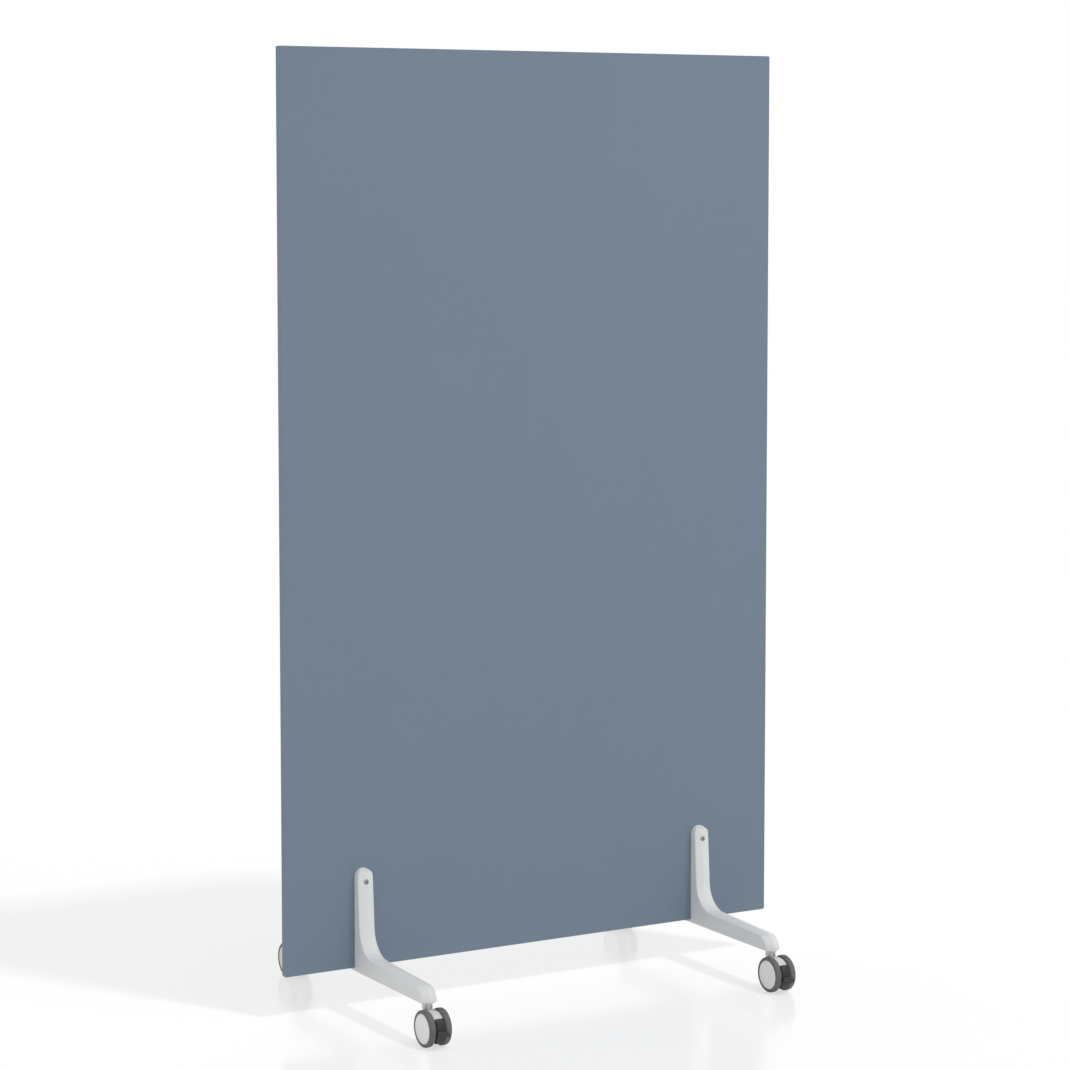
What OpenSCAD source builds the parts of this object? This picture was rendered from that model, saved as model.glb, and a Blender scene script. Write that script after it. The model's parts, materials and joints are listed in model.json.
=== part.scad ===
// Rolling partition: one stiff upright board held by two pairs of cast legs on twin-wheel casters.
// Millimetres. X runs along the board, the front faces -Y and +Z is up.
// The origin is on the floor under the middle of the board.

/* [Board] */
// Width of the board
board_w = 1000; // [700:50:1600]
// Height of the board
board_h = 1600; // [900:50:2000]
// Thickness of the board
board_t = 12; // [9:1:24]
// Radius of the board's four corners
board_corner_r = 3; // [1:0.5:20]

/* [Leg] */
// Distance from the board's side edge to the middle of a leg
leg_inset = 150; // [60:5:250]
// Width of a leg
leg_w = 30; // [26:1:40]
// Height of a leg's top above the board's lower edge
leg_rise = 177; // [150:1:260]
// Depth of the upright at the foot of its round top, at its side edges
upright_t = 12.5; // [12:0.5:18]
// Lean of the upright's front face, which makes it thicker downwards (degrees)
upright_lean = 3.7; // [1:0.1:6]
// Radius of the hollow curve between upright and foot
bend_r = 50; // [30:1:60]
// Height of the foot at the board's face, at its side edges
foot_root_h = 31.6; // [28:0.2:40]
// Fall of the foot's top towards the nose (degrees)
foot_slope = 1.9; // [0:0.1:3]
// How far the ridge stands above the side edges, along upright and foot
crown_h = 3.5; // [1:0.5:5]
// Distance from the board's face to the tip of the nose
foot_reach = 256.5; // [250:0.5:320]
// Length of the rounded nose
nose_len = 32.5; // [28:0.5:40]
// How far the ridge stands ahead of the side edges at the tip of the nose
nose_crown = 9.5; // [4:0.5:14]
// Rounding where the side faces meet the crowned face
edge_r = 1.5; // [0.5:0.1:3]
// Depth left at the very top of the upright
top_edge_t = 2; // [1:0.5:4]
// Height of the bevel that falls back to the very top of the upright
top_bevel_h = 7.5; // [5:0.5:12]
// Thickness of the toe that reaches under the board
toe_t = 6; // [5:0.5:10]

/* [Leg fasteners] */
// Height of the clamp screw below the top of the leg
clamp_drop = 23; // [18:1:40]
// Diameter of the clamp screw's shank
clamp_screw_d = 6; // [5:0.5:6]
// Outer diameter of the barrel nut
clamp_barrel_d = 8; // [8:0.5:10]
// Diameter of the heads of screw and barrel nut
clamp_head_d = 9.6; // [9:0.1:13]
// Thickness of the heads of screw and barrel nut
clamp_head_t = 2.8; // [2.6:0.1:4]
// Depth of the leg under a head at its edges, from the board's face to the head's seat
clamp_seat = 14.6; // [13:0.1:16]
// Distance from the end of the screw's shank to the rear head's seat
shank_stop = 6; // [3:0.5:10]
// Distance from the end of the barrel nut to the front head's seat
barrel_stop = 4; // [2:0.5:8]
// Width across the flats of the clamp screw's socket
clamp_key = 4; // [3:0.5:4]
// Width of the tie plate under a pair of legs
tie_w = 20; // [16:1:22]
// Thickness of the tie plate
tie_t = 3; // [3:0.5:4]
// Length of the tie plate under each leg, from the board's face
tie_reach = 48; // [44:1:80]
// Distances of the tie screws from the board's face
tie_screw_y = [14, 37];
// Diameter of a tie screw
tie_screw_d = 5; // [4:0.5:5]
// Diameter of a tie screw's countersunk head
tie_head_d = 9.5; // [9:0.1:10]
// Width across the flats of a tie screw's socket
tie_key = 3; // [2.5:0.5:3]
// Length of a tie screw
tie_screw_len = 16; // [12:1:20]

/* [Caster stem] */
// Distance from the tip of the nose to the caster's stem
stem_inset = 16.5; // [16.5:0.5:30]
// Diameter of the stem's thread
stem_thread_d = 10; // [8:1:12]
// Length of the stem's thread in the leg
stem_thread_len = 14; // [10:1:15]
// Depth of the leg's bore beyond the thread
thread_runout = 0.5; // [0.5:0.5:2]
// Diameter of the stem's collar
collar_d = 18; // [14:0.5:18]
// Diameter of the stem's pivot in the housing
pivot_d = 9; // [7:0.5:9]
// Length of the stem's pivot in the housing
pivot_len = 25; // [20:1:30]

/* [Caster] */
// Diameter of a wheel over its tyre
wheel_d = 63; // [60:1:70]
// Width of one wheel
wheel_w = 12; // [10:0.5:16]
// Gap between the two wheels of a caster
wheel_gap = 18; // [17:0.5:22]
// Distance that the wheels trail behind the stem
trail = 20; // [18:1:24]
// Room between the top of the wheels and the leg
wheel_headroom = 8; // [6:1:14]
// Thickness of the tyre's rubber on the hub
tyre_t = 5.5; // [5:0.5:7]
// Radius of the tyre's shoulders
tyre_shoulder_r = 3.5; // [2:0.5:4]
// Thickness of the hub's cap at its rim
cap_t = 0.9; // [0.8:0.1:1.5]
// Height of the cap's domed face
cap_dome = 0.5; // [0.2:0.1:1]
// Diameter of the axle
axle_d = 6; // [5:0.5:7]
// Depth of the hood behind the tread of the wheels
hood_inset = 4; // [3:0.5:5]

/* [Brake pedal] */
// Distance of the pedal's pin ahead of the axle
pedal_pin_y = 10; // [9:0.5:11]
// Height of the pedal's pin above the axle
pedal_pin_z = 6; // [5:0.5:7]
// Diameter of the pedal's pin
pedal_pin_d = 3; // [2.5:0.5:3]
// Depth of the pedal's curved face behind the tread of the wheels
pedal_inset = 0.5; // [0.5:0.5:1.5]
// Thickness of the pedal's curved shell
pedal_shell_t = 5; // [4:0.5:6]
// Width of the web between the shell and its pin
pedal_web_w = 6; // [5:0.5:7]
// Width of the toe lip at its front edge
lip_w = 23; // [20:1:28]
// Thickness of the toe lip
lip_t = 3; // [2:0.5:3]
// How far the toe lip reaches ahead of the wheels' tread
lip_ahead = 10; // [8:0.5:13]
// Gap between the wheels' tread and the place where the lip starts to widen
widen_gap = 1.8; // [1.8:0.1:2.2]
// Height of the flare that runs from the shell down to the toe lip
flare_h = 9; // [8:0.5:14]
// Height of the lip's side corners, where it starts to widen, above its front edge
corner_rise = 2.5; // [0:0.5:6.5]

/* [Clearances] */
// Radial play of a turning pin in its bore
running_fit = 0.05; // [0.02:0.01:0.1]
// Radial play of a screw or a plate in its seat
seat_fit = 0.1; // [0.05:0.05:0.2]
// Radial play of the tyre on its hub
tyre_fit = 0.03; // [0.01:0.01:0.05]
// Side play between the wheels and what lies between them
wheel_side_gap = 0.8; // [0.5:0.1:1.2]
// Side play of the brake pedal between the wheels
pedal_side_gap = 1; // [1:0.1:2]
// Gap between the stem's collar and the housing
thrust_gap = 0.2; // [0.1:0.05:0.3]

/* [Hidden] */
CORNERS = ["front_left", "front_right", "rear_left", "rear_right"];
CASTER_PIECES = ["stem", "housing", "axle", "pedal_pin", "brake_pedal"];
WHEELS = ["outer", "inner"];
WHEEL_PIECES = ["hub", "tyre", "cap"];

BOARD_COLOUR = "#74818f";
LEG_COLOUR = "#e3e4e6";
STEEL_COLOUR = "#a3a3a0";
TYRE_COLOUR = "#5e5f61";
CAP_COLOUR = "#d3d5d6";
HOUSING_COLOUR = "#dbdcde";
PEDAL_COLOUR = "#2c2c2d";

round_fn = 64;
cut = 1;

// Heights: the wheels stand on the floor, the legs above them, the board on the legs' toes.
wheel_r = wheel_d / 2;
leg_z = wheel_d + wheel_headroom;
board_z = leg_z + toe_t;
leg_x = board_w / 2 - leg_inset;
leg_top_z = board_z + leg_rise;
clamp_z = leg_top_z - clamp_drop;

// The leg's side edges: an upright line, a foot line and the point where they would cross.
leg_half = leg_w / 2;
arch_z = leg_top_z - leg_half;
foot_root_z = leg_z + foot_root_h;
knee_y = (upright_t + (arch_z - foot_root_z) * tan(upright_lean))
    / (1 - tan(upright_lean) * tan(foot_slope));
knee_z = foot_root_z - knee_y * tan(foot_slope);
bend_turn = 90 - upright_lean - foot_slope;
bend_tangent = bend_r * tan(bend_turn / 2);
bend_y = knee_y + bend_r * cos(upright_lean) - bend_tangent * sin(upright_lean);
bend_z = knee_z + bend_r * sin(upright_lean) + bend_tangent * cos(upright_lean);
corner_angle = atan2(leg_z - bend_z, -bend_y) + 360;

// The nose is a fan about a line on the leg's underside.
nose_y = foot_reach - nose_len;
nose_top_h = foot_root_h - nose_y * tan(foot_slope);
stem_reach = foot_reach - stem_inset;

// Caster heights and widths.
hood_r = wheel_r - hood_inset;
hub_r = wheel_r - tyre_t;
half_gap = wheel_gap / 2;
housing_half = half_gap - wheel_side_gap;
pedal_half = half_gap - pedal_side_gap;
boss_rise = 0.3;
collar_bottom_z = wheel_r + hood_r + boss_rise + thrust_gap;
rim_t = 2;
web_t = 2.5;
web_inset = 2;
hub_boss_r = axle_d / 2 + 4;
hub_side_gap = 0.3;
cap_face = half_gap + wheel_w - cap_t - cap_dome;
cap_skirt_t = 1.4;
cap_skirt_len = 2.8;
cap_skirt_gap = 0.2;
axle_half = cap_face - 1;
hub_boss_end = cap_face - 0.7;
groove_depth = 0.4;
groove_w = 1.2;
rib_h = 0.3;
rib_w = 0.6;
axle_groove = axle_half - 2;
stem_groove_z = collar_bottom_z - pivot_len + 4;
housing_floor = 8;
pedal_top_angle = 42.5;
pedal_bottom_angle = -50;
recess_top_angle = 44.5;
recess_bottom_angle = -78;
pedal_hub_r = pedal_pin_d / 2 + 2.5;
slot_gap = 0.3;
pedal_room = 5;
pedal_r = wheel_r - pedal_inset;
pedal_inner_r = pedal_r - pedal_shell_t;
pedal_recess_r = pedal_inner_r - pedal_room;
lip_z = -5;
lip_root = pedal_inner_r + 1;
lip_reach = wheel_r + lip_ahead;
widen_y = wheel_r + widen_gap;
side_rise = 0.8;
lip_corner = 2;

// Height of the crown at u across the leg: a soft ridge in the middle, rounded off at both edges.
function ridge(u) =
    let (soft = 0.22, s = abs(u) / leg_half)
    (sqrt(soft * soft + 1) - sqrt(soft * soft + s * s)) / (sqrt(soft * soft + 1) - soft);
function edge_drop(u) =
    let (e = abs(u) - (leg_half - edge_r))
    e > 0 ? edge_r - sqrt(max(0, edge_r * edge_r - e * e)) : 0;

// Places across the leg where each ring has a point, closer together at the ridge and the edges.
EDGE_STEPS = [0, 0.3, 1];
RIDGE_STEPS = [0.2, 0.45, 0.75, 0.93];
BEVEL_POWER = 1.2;
half_ring = concat(
    [for (e = EDGE_STEPS) leg_half - edge_r * e],
    [for (i = [len(RIDGE_STEPS) - 1:-1:0]) (leg_half - edge_r) * RIDGE_STEPS[i] * 0.95]);
RING_U = concat([for (u = half_ring) -u], [0],
    [for (i = [len(half_ring) - 1:-1:0]) half_ring[i]]);

// One ring of the leg: points across the crowned face, then the two points of the back or underside.
// p(u) is a point of the crowned face, back the [y, z] behind it, and w a share of the full width.
function back_point(x, back) = [x, back[0], back[1]];

function top_ring(a) =
    let (w = cos(a), z = arch_z + leg_half * sin(a),
         fall = max(0, 1 - leg_half * (1 - sin(a)) / top_bevel_h),
         edge_t = top_edge_t + (upright_t - top_edge_t) * (1 - pow(fall, BEVEL_POWER)))
    concat(
        [for (u = RING_U) [u * w, edge_t + crown_h * w * ridge(u) - edge_drop(u) * w, z]],
        [[leg_half * w, 0, z], [-leg_half * w, 0, z]]);

function bend_ring(a) =
    let (c = cos(a), s = sin(a), reach_back = -bend_y / c, reach_down = (leg_z - bend_z) / s,
         back_r = a <= corner_angle ? reach_back : reach_down)
    concat(
        [for (u = RING_U)
            let (r = bend_r - crown_h * ridge(u) + edge_drop(u))
            [u, bend_y + r * c, bend_z + r * s]],
        [back_point(leg_half, [bend_y + back_r * c, bend_z + back_r * s]),
         back_point(-leg_half, [bend_y + back_r * c, bend_z + back_r * s])]);

function nose_ring(a) =
    let (c = cos(a), s = sin(a))
    concat(
        [for (u = RING_U)
            let (side = [nose_len - nose_crown, nose_top_h],
                 grow = [nose_crown, crown_h] * ridge(u) - [1, 1] * edge_drop(u))
            [u, nose_y + (side[0] + grow[0]) * c, leg_z + (side[1] + grow[1]) * s]],
        [[leg_half, nose_y, leg_z], [-leg_half, nose_y, leg_z]]);

BEND_STEPS = 5;
UPRIGHT_START = 180 + upright_lean;
FOOT_END = 270 - foot_slope;
LEG_RINGS = concat(
    [for (a = [84, 75, 63, 50, 39, 30, 24, 12, 0]) top_ring(a)],
    [for (i = [0:BEND_STEPS - 1])
        bend_ring(UPRIGHT_START + (corner_angle - UPRIGHT_START) * i / BEND_STEPS)],
    [for (i = [0:BEND_STEPS]) bend_ring(corner_angle + (FOOT_END - corner_angle) * i / BEND_STEPS)],
    [for (a = [90:-10:0]) nose_ring(a)]);

// The leg's skin: rings joined by triangles, with the two end rings closed.
module leg_skin() {
    n = len(LEG_RINGS[0]);
    rings = len(LEG_RINGS);
    points = [for (ring = LEG_RINGS, p = ring) p];
    sides = [for (i = [0:rings - 2], j = [0:n - 1])
        let (a = i * n + j, b = i * n + (j + 1) % n)
        each [[a, b + n, b], [a, a + n, b + n]]];
    top = [[for (j = [0:n - 1]) j]];
    tip = [[for (j = [n - 1:-1:0]) (rings - 1) * n + j]];
    polyhedron(points, concat(sides, top, tip), convexity = 6);
}

// A leg with y as the distance from the board's face: skin, toe, and the seats of its fasteners.
module leg_casting() {
    difference() {
        union() {
            leg_skin();
            translate([-leg_half, -board_t / 2, leg_z])
                cube([leg_w, board_t / 2 + toe_t, toe_t]);
        }
        translate([0, -board_t, clamp_z]) rotate([-90, 0, 0])
            cylinder(d = clamp_barrel_d + 2 * seat_fit, h = board_t + foot_root_h, $fn = round_fn);
        translate([0, clamp_seat, clamp_z]) rotate([-90, 0, 0])
            cylinder(d = clamp_head_d + 2 * seat_fit, h = foot_root_h, $fn = round_fn);
        translate([-tie_w / 2 - seat_fit, -board_t, leg_z - cut])
            cube([tie_w + 2 * seat_fit, board_t + tie_reach + seat_fit, tie_t + cut]);
        for (y = tie_screw_y)
            translate([0, y, leg_z])
                cylinder(d = tie_screw_d + 2 * seat_fit, h = tie_screw_len + cut, $fn = round_fn);
        translate([0, stem_reach, leg_z - cut])
            cylinder(d = stem_thread_d + 2 * running_fit, h = cut + stem_thread_len + thread_runout,
                $fn = round_fn);
    }
}

// Moves a piece made with y as the distance from the board's face to one of the four corners.
function is_front(corner) = corner[0] == "f";
function side_of(corner) = corner == "front_left" || corner == "rear_left" ? -1 : 1;

module at_corner(corner) {
    flip = is_front(corner) ? 1 : 0;
    translate([side_of(corner) * leg_x, (1 - 2 * flip) * board_t / 2, 0])
        mirror([0, flip, 0])
            children();
}

module leg(corner) {
    color(LEG_COLOUR)
        at_corner(corner)
            leg_casting();
}

module board() {
    inner_w = board_w - 2 * board_corner_r;
    inner_h = board_h - 2 * board_corner_r;
    color(BOARD_COLOUR)
        difference() {
            translate([0, board_t / 2, board_z + board_h / 2]) rotate([90, 0, 0])
                linear_extrude(height = board_t) {
                    square([board_w, inner_h], center = true);
                    square([inner_w, board_h], center = true);
                    for (x = [-1, 1], z = [-1, 1])
                        translate([x * inner_w / 2, z * inner_h / 2])
                            circle(r = board_corner_r, $fn = round_fn);
                }
            for (x = [-leg_x, leg_x])
                translate([x, board_t, clamp_z]) rotate([90, 0, 0])
                    cylinder(d = clamp_barrel_d + 2 * seat_fit, h = 2 * board_t, $fn = round_fn);
        }
}

// A countersunk tie screw, head down, with its head flush with the plate's underside.
module tie_screw(play) {
    head_h = (tie_head_d - tie_screw_d) / 2;
    difference() {
        union() {
            cylinder(d1 = tie_head_d + 2 * play, d2 = tie_screw_d + 2 * play, h = head_h, $fn = round_fn);
            cylinder(d = tie_screw_d + 2 * play, h = tie_screw_len, $fn = round_fn);
        }
        if (play == 0)
            translate([0, 0, -cut])
                cylinder(d = tie_key / cos(30), h = cut + head_h, $fn = 6);
    }
}

module at_tie_screws(sides) {
    for (x = sides, face = [-1, 1], y = tie_screw_y)
        translate([x * leg_x, face * (board_t / 2 + y), leg_z])
            children();
}

module tie_plate(side) {
    color(STEEL_COLOUR)
        difference() {
            translate([side * leg_x - tie_w / 2, -board_t / 2 - tie_reach, leg_z])
                cube([tie_w, board_t + 2 * tie_reach, tie_t]);
            at_tie_screws([side])
                tie_screw(seat_fit);
        }
}

module tie_screws() {
    color(STEEL_COLOUR)
        at_tie_screws([-1, 1])
            tie_screw(0);
}

// The screw enters at the front and turns into the barrel nut, which enters at the rear.
clamp_grip = 2 * clamp_seat + board_t;
shank_len = clamp_grip - shank_stop;
barrel_len = clamp_grip - barrel_stop;

module clamp_head() {
    dome_r = clamp_head_d;
    intersection() {
        cylinder(d = clamp_head_d, h = clamp_head_t, $fn = round_fn);
        translate([0, 0, clamp_head_t - dome_r])
            sphere(r = dome_r, $fn = round_fn);
    }
}

module clamp_screw() {
    difference() {
        union() {
            clamp_head();
            translate([0, 0, -shank_len])
                cylinder(d = clamp_screw_d, h = shank_len + clamp_head_t / 2, $fn = round_fn);
        }
        translate([0, 0, clamp_head_t / 3])
            cylinder(d = clamp_key / cos(30), h = clamp_head_t, $fn = 6);
    }
}

module clamp_barrel() {
    difference() {
        union() {
            clamp_head();
            translate([0, 0, -barrel_len])
                cylinder(d = clamp_barrel_d, h = barrel_len + clamp_head_t / 2, $fn = round_fn);
        }
        translate([0, 0, -barrel_len - cut])
            cylinder(d = clamp_screw_d + 2 * running_fit, h = barrel_len + cut / 2, $fn = round_fn);
    }
}

module at_clamps(face) {
    for (x = [-leg_x, leg_x])
        translate([x, face * (board_t / 2 + clamp_seat), clamp_z]) rotate([-face * 90, 0, 0])
            children();
}

module clamp_screws() {
    color(STEEL_COLOUR)
        at_clamps(-1)
            clamp_screw();
}

module clamp_barrels() {
    color(STEEL_COLOUR)
        at_clamps(1)
            clamp_barrel();
}

// Caster pieces are made about the stem's axis, with y as the way in which the wheels trail.
module at_caster(corner) {
    at_corner(corner)
        translate([0, stem_reach, 0])
            children();
}

module stem(corner) {
    pivot_r = pivot_d / 2;
    thread_r = stem_thread_d / 2;
    collar_r = collar_d / 2;
    pivot_end = collar_bottom_z - pivot_len;
    half_groove = groove_w / 2;
    color(STEEL_COLOUR)
        at_caster(corner)
            rotate_extrude($fn = round_fn)
                polygon([
                    [0, pivot_end], [pivot_r - groove_depth, pivot_end],
                    [pivot_r, pivot_end + groove_depth],
                    [pivot_r, stem_groove_z - half_groove],
                    [pivot_r - groove_depth, stem_groove_z - half_groove],
                    [pivot_r - groove_depth, stem_groove_z + half_groove],
                    [pivot_r, stem_groove_z + half_groove],
                    [pivot_r, collar_bottom_z], [collar_r - groove_depth, collar_bottom_z],
                    [collar_r, collar_bottom_z + groove_depth], [collar_r, leg_z - groove_depth],
                    [collar_r - groove_depth, leg_z], [thread_r, leg_z],
                    [thread_r, leg_z + stem_thread_len - 1],
                    [thread_r - 1, leg_z + stem_thread_len], [0, leg_z + stem_thread_len]]);
}

// A bore with a snap rib that sits in the groove of its pin.
module ribbed_bore(bore_r, from, to, rib_at) {
    rotate_extrude($fn = round_fn)
        polygon([
            [0, from], [bore_r, from], [bore_r, rib_at - rib_w],
            [bore_r - rib_h, rib_at - rib_w / 2], [bore_r - rib_h, rib_at + rib_w / 2],
            [bore_r, rib_at + rib_w], [bore_r, to], [0, to]]);
}

// A wedge of angles about the axle, for the pedal's recess.
module sector(from, to, r) {
    polygon(concat([[0, 0]], [for (i = [0:4]) let (a = from + (to - from) * i / 4) [cos(a), sin(a)] * r]));
}

// Turns a side view drawn about the axle, in y and z, into a solid of the given width.
module side_solid(width) {
    translate([-width / 2, trail, wheel_r]) rotate([90, 0, 90])
        linear_extrude(height = width)
            children();
}

module housing(corner) {
    color(HOUSING_COLOUR)
        at_caster(corner)
            difference() {
                intersection() {
                    side_solid(2 * housing_half)
                        difference() {
                            union() {
                                circle(r = hood_r, $fn = 2 * round_fn);
                                translate([-trail - housing_half, 0])
                                    square([trail + housing_half, hood_r]);
                                translate([-trail - housing_half, 0])
                                    square([2 * housing_half, hood_r + boss_rise]);
                            }
                            difference() {
                                sector(recess_bottom_angle, recess_top_angle, 2 * wheel_r);
                                circle(r = pedal_recess_r, $fn = round_fn);
                            }
                            translate([-wheel_d, -wheel_d - wheel_r + housing_floor])
                                square([2 * wheel_d, wheel_d]);
                        }
                    linear_extrude(height = leg_z) {
                        circle(r = housing_half, $fn = round_fn);
                        translate([-housing_half, 0])
                            square([2 * housing_half, trail + wheel_r]);
                    }
                }
                ribbed_bore(pivot_d / 2 + running_fit, collar_bottom_z - pivot_len - 1, leg_z,
                    stem_groove_z);
                translate([0, trail, wheel_r]) rotate([0, 90, 0])
                    cylinder(d = axle_d, h = wheel_gap, center = true, $fn = round_fn);
                translate([0, trail + pedal_pin_y, wheel_r + pedal_pin_z]) rotate([0, 90, 0])
                    cylinder(d = pedal_pin_d, h = wheel_gap, center = true, $fn = round_fn);
                side_solid(pedal_web_w + 2 * slot_gap)
                    translate([pedal_pin_y - pedal_hub_r - slot_gap, -hood_r])
                        square([hood_r, hood_r + pedal_pin_z + pedal_hub_r + slot_gap]);
            }
}

module axle(corner) {
    r = axle_d / 2;
    half_groove = groove_w / 2;
    color(STEEL_COLOUR)
        at_caster(corner)
            translate([0, trail, wheel_r]) rotate([0, 90, 0])
                rotate_extrude($fn = round_fn)
                    polygon(concat(
                        [[0, -axle_half], [r - groove_depth, -axle_half],
                         [r, -axle_half + groove_depth]],
                        [for (side = [-1, 1])
                            let (first = side * axle_groove - half_groove,
                                 last = side * axle_groove + half_groove)
                            each [[r, first], [r - groove_depth, first],
                                [r - groove_depth, last], [r, last]]],
                        [[r, axle_half - groove_depth], [r - groove_depth, axle_half],
                         [0, axle_half]]));
}

module pedal_pin(corner) {
    color(STEEL_COLOUR)
        at_caster(corner)
            translate([0, trail + pedal_pin_y, wheel_r + pedal_pin_z]) rotate([0, 90, 0])
                cylinder(d = pedal_pin_d, h = 2 * housing_half, center = true, $fn = round_fn);
}

// The toe lip seen from above, about the axle: it widens outward from the shell, with cut corners.
module lip_plan() {
    half = lip_w / 2;
    polygon([
        [-pedal_half, lip_root], [pedal_half, lip_root], [pedal_half, widen_y],
        [half, lip_reach - lip_corner], [half - lip_corner, lip_reach],
        [lip_corner - half, lip_reach], [-half, lip_reach - lip_corner], [-pedal_half, widen_y]]);
}

// The toe lip seen from the front: as high as the flare in the middle, lower at its corners.
module lip_front() {
    half = lip_w / 2;
    low = lip_z - lip_t;
    polygon([
        [-pedal_half, low], [pedal_half, low], [half, low + side_rise], [half, lip_z],
        [pedal_half, lip_z + corner_rise], [pedal_half, lip_z + flare_h],
        [-pedal_half, lip_z + flare_h], [-pedal_half, lip_z + corner_rise], [-half, lip_z],
        [-half, low + side_rise]]);
}

// The toe lip seen from the side: the shell's face flares out to the lip's front edge.
module lip_side() {
    low = lip_z - lip_t;
    flare_z = lip_z + flare_h;
    polygon([
        [lip_root, low], [lip_reach, low], [lip_reach, lip_z],
        [sqrt(pedal_r * pedal_r - flare_z * flare_z), flare_z], [lip_root, flare_z]]);
}

module toe_lip() {
    intersection() {
        side_solid(lip_w)
            lip_side();
        translate([0, trail, 0])
            linear_extrude(height = leg_z)
                lip_plan();
        translate([0, trail + lip_reach + cut, wheel_r]) rotate([90, 0, 0])
            linear_extrude(height = lip_reach)
                lip_front();
    }
}

module brake_pedal(corner) {
    color(PEDAL_COLOUR)
        at_caster(corner)
            difference() {
                union() {
                    side_solid(2 * pedal_half)
                        intersection() {
                            sector(pedal_bottom_angle, pedal_top_angle, 2 * wheel_r);
                            difference() {
                                circle(r = pedal_r, $fn = 2 * round_fn);
                                circle(r = pedal_inner_r, $fn = 2 * round_fn);
                            }
                        }
                    side_solid(pedal_web_w) {
                        translate([pedal_pin_y, pedal_pin_z])
                            circle(r = pedal_hub_r, $fn = round_fn);
                        polygon([
                            [pedal_pin_y, pedal_pin_z - pedal_hub_r], [pedal_inner_r, lip_z],
                            [pedal_inner_r + cut, lip_z], [pedal_inner_r + cut, pedal_pin_z],
                            [pedal_inner_r, pedal_pin_z],
                            [pedal_pin_y, pedal_pin_z + pedal_hub_r]]);
                    }
                    toe_lip();
                }
                translate([0, trail + pedal_pin_y, wheel_r + pedal_pin_z]) rotate([0, 90, 0])
                    cylinder(d = pedal_pin_d + 2 * running_fit, h = wheel_gap, center = true,
                        $fn = round_fn);
            }
}

// Places a wheel piece drawn as radius and distance from the caster's middle.
module at_wheel(corner, wheel) {
    outward = side_of(corner) * (wheel == "outer" ? 1 : -1);
    at_caster(corner)
        translate([0, trail, wheel_r]) rotate([0, outward * 90, 0])
            rotate_extrude($fn = 2 * round_fn)
                children();
}

module hub(corner, wheel) {
    bore_r = axle_d / 2 + running_fit;
    inside = half_gap + hub_side_gap;
    web = half_gap + web_inset;
    rim_inner_r = hub_r - rim_t;
    color(CAP_COLOUR)
        at_wheel(corner, wheel)
            polygon([
                [bore_r, inside], [hub_boss_r, inside], [hub_boss_r, web], [rim_inner_r, web],
                [rim_inner_r, inside], [hub_r, inside], [hub_r, cap_face],
                [rim_inner_r, cap_face], [rim_inner_r, web + web_t], [hub_boss_r, web + web_t],
                [hub_boss_r, hub_boss_end], [bore_r, hub_boss_end],
                [bore_r, axle_groove + rib_w], [bore_r - rib_h, axle_groove + rib_w / 2],
                [bore_r - rib_h, axle_groove - rib_w / 2], [bore_r, axle_groove - rib_w]]);
}

module tyre(corner, wheel) {
    r = tyre_shoulder_r;
    color(TYRE_COLOUR)
        at_wheel(corner, wheel)
            difference() {
                translate([hub_r, half_gap]) {
                    square([tyre_t - r, wheel_w]);
                    translate([0, r])
                        square([tyre_t, wheel_w - 2 * r]);
                    for (a = [r, wheel_w - r])
                        translate([tyre_t - r, a])
                            circle(r = r, $fn = round_fn);
                }
                square([hub_r + tyre_fit, 2 * wheel_gap + wheel_w]);
            }
}

module cap(corner, wheel) {
    face_r = hub_r - 0.4;
    skirt_r = hub_r - rim_t - cap_skirt_gap;
    steps = 6;
    color(CAP_COLOUR)
        at_wheel(corner, wheel)
            polygon(concat(
                [[0, cap_face], [skirt_r - cap_skirt_t, cap_face],
                 [skirt_r - cap_skirt_t, cap_face - cap_skirt_len],
                 [skirt_r, cap_face - cap_skirt_len], [skirt_r, cap_face], [face_r, cap_face]],
                [for (i = [0:steps]) let (r = face_r * (1 - i / steps))
                    [r, cap_face + cap_t + cap_dome * (1 - pow(r / face_r, 2))]]));
}

board();
tie_plate(-1);  // left_tie_plate
tie_plate(1);  // right_tie_plate
tie_screws();
clamp_screws();
clamp_barrels();
for (c = CORNERS) {
    leg(c);
    stem(c);
    housing(c);
    axle(c);
    pedal_pin(c);
    brake_pedal(c);
    for (w = WHEELS) {
        hub(c, w);
        tyre(c, w);
        cap(c, w);
    }
}
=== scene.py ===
import json
import math

import bmesh
import bpy
from mathutils import Matrix, Vector

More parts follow.
